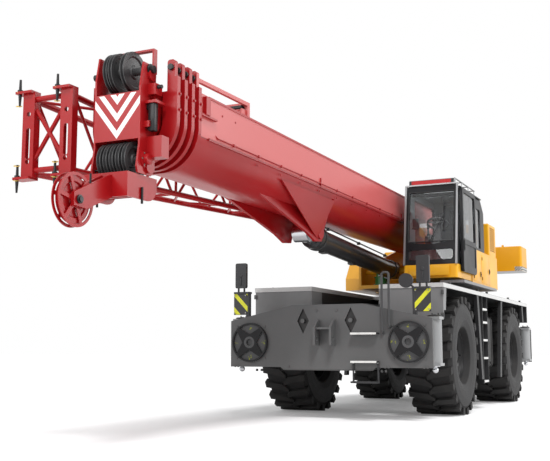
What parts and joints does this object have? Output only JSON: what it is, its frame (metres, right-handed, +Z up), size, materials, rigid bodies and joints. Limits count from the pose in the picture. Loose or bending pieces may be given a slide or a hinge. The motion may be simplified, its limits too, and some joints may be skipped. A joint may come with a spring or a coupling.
{
  "type": "rough-terrain mobile crane",
  "caption": "Rough-terrain crane on four large steered tyres, with a slewing upper, open-sided cab, telescopic boom, stowed lattice jib and outriggers.",
  "frame": {"origin": "on the ground, middle of the overall length and width", "axes": "+Z up, -Y is forward along the boom at rest, +X is the vehicle's left"},
  "size_m": [3.21, 14.28, 3.985],
  "materials": {
    "tyre": "matt",
    "black_paint": "satin",
    "grey_paint": "satin",
    "light_paint": "satin",
    "red_paint": "gloss",
    "yellow_paint": "gloss",
    "cab_paint": "gloss",
    "cab_trim": "matt",
    "chrome": "polished",
    "lamp_lens": "gloss",
    "glass": "clear"
  },
  "bodies": {
    "carrier": {"chassis_frame": "grey_paint", "outrigger_box_front": "grey_paint", "outrigger_box_rear": "grey_paint", "deck": "grey_paint", "side_tanks": "black_paint", "ladders": "light_paint", "front_steps": "grey_paint", "mirrors": "black_paint", "stowed_floats": "grey_paint", "axles": "black_paint", "drive_line": "black_paint", "engine_block": "grey_paint", "slew_ring": "black_paint", "lamps": "lamp_lens"},
    "superstructure": {"turntable": "yellow_paint", "counterweight": "yellow_paint", "winches": "black_paint", "cab_shell": "cab_paint", "cab_interior": "cab_trim", "side_bodies": "yellow_paint", "cab_glass": "glass", "cab_rails": "light_paint", "light_bar": "red_paint"},
    "cab_door": {"cab_door": "cab_paint", "cab_door_glass": "glass"},
    "lift_barrel": {"lift_barrel": "black_paint"},
    "lift_rod": {"lift_rod": "chrome"},
    "boom": {"boom_base": "red_paint", "jib": "red_paint", "jib_brackets": "red_paint", "jib_pins": "black_paint"},
    "boom_2": {"boom_section_2": "red_paint"},
    "boom_3": {"boom_section_3": "red_paint"},
    "boom_4": {"boom_section_4": "red_paint"},
    "boom_5": {"boom_section_5": "red_paint", "head_sheaves": "black_paint", "nose_sheave": "red_paint"},
    "knuckle_fl": {"knuckle_fl": "black_paint"},
    "wheel_fl": {"tyre_fl": "tyre", "rim_fl": "black_paint"},
    "beam_fl": {"outrigger_beam_fl": "grey_paint"},
    "jack_fl": {"jack_leg_fl": "chrome"},
    "knuckle_fr": {"knuckle_fr": "black_paint"},
    "wheel_fr": {"tyre_fr": "tyre", "rim_fr": "black_paint"},
    "beam_fr": {"outrigger_beam_fr": "grey_paint"},
    "jack_fr": {"jack_leg_fr": "chrome"},
    "knuckle_rl": {"knuckle_rl": "black_paint"},
    "wheel_rl": {"tyre_rl": "tyre", "rim_rl": "black_paint"},
    "beam_rl": {"outrigger_beam_rl": "grey_paint"},
    "jack_rl": {"jack_leg_rl": "chrome"},
    "knuckle_rr": {"knuckle_rr": "black_paint"},
    "wheel_rr": {"tyre_rr": "tyre", "rim_rr": "black_paint"},
    "beam_rr": {"outrigger_beam_rr": "grey_paint"},
    "jack_rr": {"jack_leg_rr": "chrome"}
  },
  "joints": [
    {"name": "slew", "type": "hinge", "parent": "carrier", "child": "superstructure", "pos_m": [0, 3.69, 2.095], "axis": [0, 0, 1], "continuous": true},
    {"name": "cab_door_slide", "type": "slide", "parent": "superstructure", "child": "cab_door", "axis": [0, 1, 0], "range_m": [0, 0.75]},
    {"name": "luff", "type": "hinge", "parent": "superstructure", "child": "boom", "pos_m": [0, 4.94, 3.06], "axis": [-1, 0, 0], "range_deg": [0, 80]},
    {"name": "lift_barrel_pitch", "type": "hinge", "parent": "superstructure", "child": "lift_barrel", "pos_m": [0, 2.29, 2.44], "axis": [-1, 0, 0], "range_deg": [0, 95.58]},
    {"name": "lift_rod_slide", "type": "slide", "parent": "lift_barrel", "child": "lift_rod", "axis": [0, -0.9985, 0.0542], "range_m": [0, 3.1759]},
    {"name": "telescope_2", "type": "slide", "parent": "boom", "child": "boom_2", "axis": [0, -1, 0], "range_m": [0, 8.3]},
    {"name": "telescope_3", "type": "slide", "parent": "boom_2", "child": "boom_3", "axis": [0, -1, 0], "range_m": [0, 8.3]},
    {"name": "telescope_4", "type": "slide", "parent": "boom_3", "child": "boom_4", "axis": [0, -1, 0], "range_m": [0, 8.3]},
    {"name": "telescope_5", "type": "slide", "parent": "boom_4", "child": "boom_5", "axis": [0, -1, 0], "range_m": [0, 8.3]},
    {"name": "steer_fl", "type": "hinge", "parent": "carrier", "child": "knuckle_fl", "pos_m": [0.9, 1.09, 0.935], "axis": [0, 0, 1], "range_deg": [-25, 25]},
    {"name": "wheel_fl_spin", "type": "hinge", "parent": "knuckle_fl", "child": "wheel_fl", "pos_m": [1.215, 1.09, 0.935], "axis": [1, 0, 0], "continuous": true},
    {"name": "steer_fr", "type": "hinge", "parent": "carrier", "child": "knuckle_fr", "pos_m": [-0.9, 1.09, 0.935], "axis": [0, 0, 1], "range_deg": [-25, 25]},
    {"name": "wheel_fr_spin", "type": "hinge", "parent": "knuckle_fr", "child": "wheel_fr", "pos_m": [-1.215, 1.09, 0.935], "axis": [1, 0, 0], "continuous": true},
    {"name": "steer_rl", "type": "hinge", "parent": "carrier", "child": "knuckle_rl", "pos_m": [0.9, 5.24, 0.935], "axis": [0, 0, 1], "range_deg": [-25, 25]},
    {"name": "wheel_rl_spin", "type": "hinge", "parent": "knuckle_rl", "child": "wheel_rl", "pos_m": [1.215, 5.24, 0.935], "axis": [1, 0, 0], "continuous": true},
    {"name": "steer_rr", "type": "hinge", "parent": "carrier", "child": "knuckle_rr", "pos_m": [-0.9, 5.24, 0.935], "axis": [0, 0, 1], "range_deg": [-25, 25]},
    {"name": "wheel_rr_spin", "type": "hinge", "parent": "knuckle_rr", "child": "wheel_rr", "pos_m": [-1.215, 5.24, 0.935], "axis": [1, 0, 0], "continuous": true},
    {"name": "beam_fl_slide", "type": "slide", "parent": "carrier", "child": "beam_fl", "axis": [1, 0, 0], "range_m": [0, 2]},
    {"name": "jack_fl_slide", "type": "slide", "parent": "beam_fl", "child": "jack_fl", "axis": [0, 0, -1], "range_m": [0, 0.7]},
    {"name": "beam_fr_slide", "type": "slide", "parent": "carrier", "child": "beam_fr", "axis": [-1, 0, 0], "range_m": [0, 2]},
    {"name": "jack_fr_slide", "type": "slide", "parent": "beam_fr", "child": "jack_fr", "axis": [0, 0, -1], "range_m": [0, 0.7]},
    {"name": "beam_rl_slide", "type": "slide", "parent": "carrier", "child": "beam_rl", "axis": [1, 0, 0], "range_m": [0, 2]},
    {"name": "jack_rl_slide", "type": "slide", "parent": "beam_rl", "child": "jack_rl", "axis": [0, 0, -1], "range_m": [0, 0.7]},
    {"name": "beam_rr_slide", "type": "slide", "parent": "carrier", "child": "beam_rr", "axis": [-1, 0, 0], "range_m": [0, 2]},
    {"name": "jack_rr_slide", "type": "slide", "parent": "beam_rr", "child": "jack_rr", "axis": [0, 0, -1], "range_m": [0, 0.7]}
  ],
  "couplings": [
    {"joint": "lift_barrel_pitch", "follows": "luff", "ratio": 1.1948},
    {"joint": "lift_rod_slide", "follows": "luff", "m_per_rad": 2.2745},
    {"joint": "telescope_3", "follows": "telescope_2", "ratio": 1},
    {"joint": "telescope_4", "follows": "telescope_2", "ratio": 1},
    {"joint": "telescope_5", "follows": "telescope_2", "ratio": 1},
    {"joint": "steer_fr", "follows": "steer_fl", "ratio": 1},
    {"joint": "steer_rr", "follows": "steer_rl", "ratio": 1}
  ]
}
